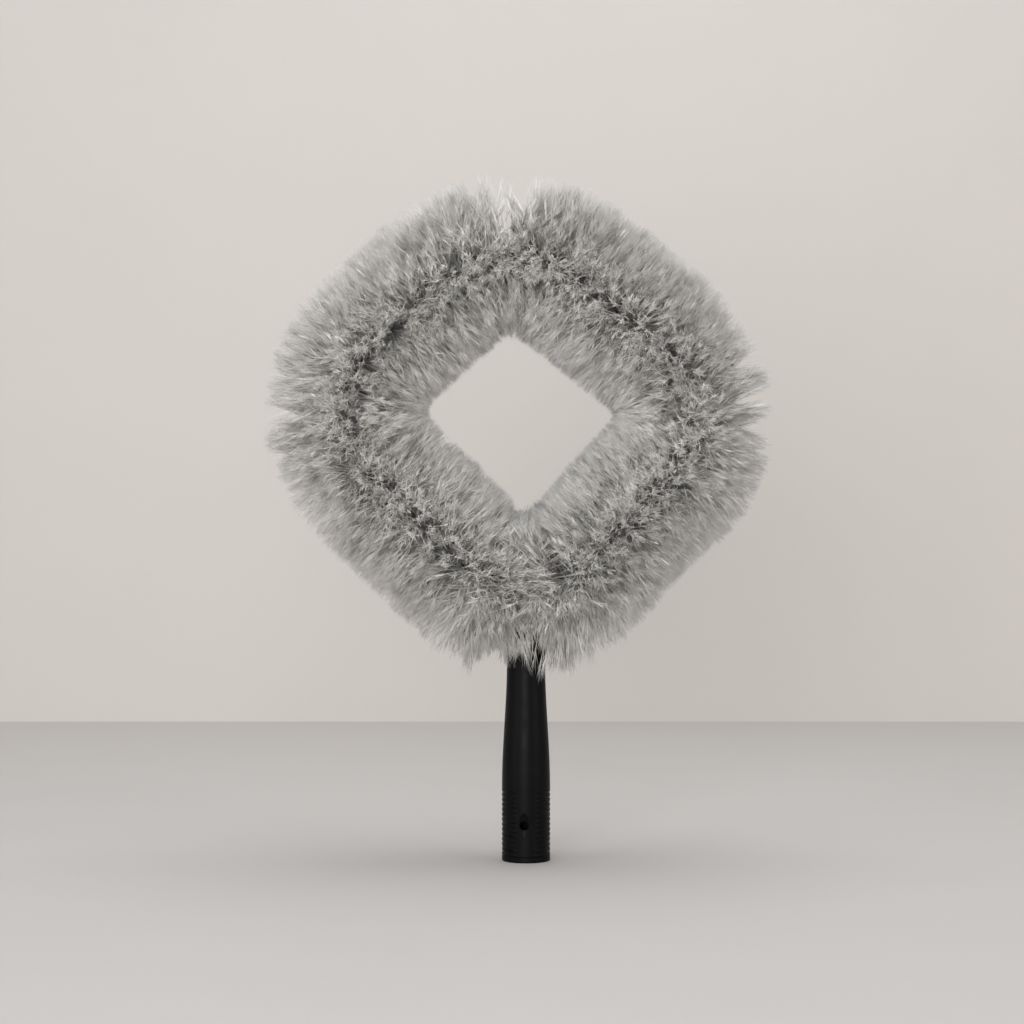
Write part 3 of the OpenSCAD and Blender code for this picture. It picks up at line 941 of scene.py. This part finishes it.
class COBWEB_OT_stage(bpy.types.Operator):
    """Set the floor, the wall, the lights and the camera."""

    bl_idname = "cobweb.stage"
    bl_label = "Set stage"

    def execute(self, context):
        look = context.scene.stage_look
        self.set_boards(look)
        self.set_lights(context.scene, look)
        self.set_camera(context.scene)
        context.scene.view_settings.view_transform = "Standard"
        return {"FINISHED"}

    def set_boards(self, look):
        """A level floor, and a wall behind the brush."""
        half_width = 2.6
        wall_y = 1.06
        front_y = -3.2
        height = 2.8
        floor = painted_board("painted_floor", look.floor)
        wall = painted_board("painted_wall", look.wall)
        board("floor", (-half_width, front_y, 0), (half_width, wall_y, 0), floor)
        board("wall", (-half_width, wall_y, 0), (half_width, wall_y, height), wall)

    def set_lights(self, scene, look):
        """A softbox behind the camera, one on each side and one overhead, in an evenly lit room."""
        middle = (0, 0, 0.25)
        softbox("key", (-0.35, -2.3, 0.50), middle, 1.1, look.key_power)
        softbox("fill_left", (-1.6, -1.2, 0.30), middle, 1.0, look.fill_power)
        softbox("fill_right", (1.6, -1.2, 0.35), middle, 1.0, look.fill_power)
        softbox("top", (0.1, 0.1, 1.7), middle, 1.2, look.top_power)
        scene.world = bpy.data.worlds.new("room")
        scene.world.use_nodes = True
        room = scene.world.node_tree.nodes["Background"]
        room.inputs["Color"].default_value = (1, 1, 1, 1)
        room.inputs["Strength"].default_value = look.sky

    def set_camera(self, scene):
        """A level camera with an 85 mm lens, in front of the brush."""
        lens = bpy.data.cameras.new("camera")
        lens.lens = 85
        lens.sensor_width = 36
        camera = bpy.data.objects.new("camera", lens)
        camera.location = (-0.0093, -1.605, 0.2311)
        camera.rotation_euler = (math.pi / 2, 0, 0)
        scene.collection.objects.link(camera)
        scene.camera = camera


OPERATORS = (
    COBWEB_OT_stage,
    COBWEB_OT_socket,
    COBWEB_OT_plug,
    COBWEB_OT_steel,
    COBWEB_OT_bristles,
)


class COBWEB_PT_brush(bpy.types.Panel):
    """Lists the steps and sizes of the brush."""

    bl_idname = "COBWEB_PT_brush"
    bl_label = "Cobweb brush"
    bl_space_type = "VIEW_3D"
    bl_region_type = "UI"
    bl_category = "Brush"

    def draw(self, context):
        layout = self.layout
        for operator in OPERATORS:
            layout.operator(operator.bl_idname)
        for group in PROPERTIES:
            box = layout.box()
            values = getattr(context.scene, group)
            for name in values.__annotations__:
                box.prop(values, name)


PROPERTIES = {
    "bristle_sizes": BristleSizes,
    "brush_colours": BrushColours,
    "stage_look": StageLook,
}


def register():
    for group, kind in PROPERTIES.items():
        bpy.utils.register_class(kind)
        setattr(bpy.types.Scene, group, bpy.props.PointerProperty(type=kind))
    for kind in (*OPERATORS, COBWEB_PT_brush):
        bpy.utils.register_class(kind)


def unregister():
    for kind in reversed((*OPERATORS, COBWEB_PT_brush)):
        bpy.utils.unregister_class(kind)
    for group, kind in PROPERTIES.items():
        delattr(bpy.types.Scene, group)
        bpy.utils.unregister_class(kind)


def main():
    register()
    bpy.ops.cobweb.stage()
    bpy.ops.cobweb.socket()
    bpy.ops.cobweb.plug()
    bpy.ops.cobweb.steel()
    bpy.ops.cobweb.bristles()


if __name__ == "__main__":
    main()
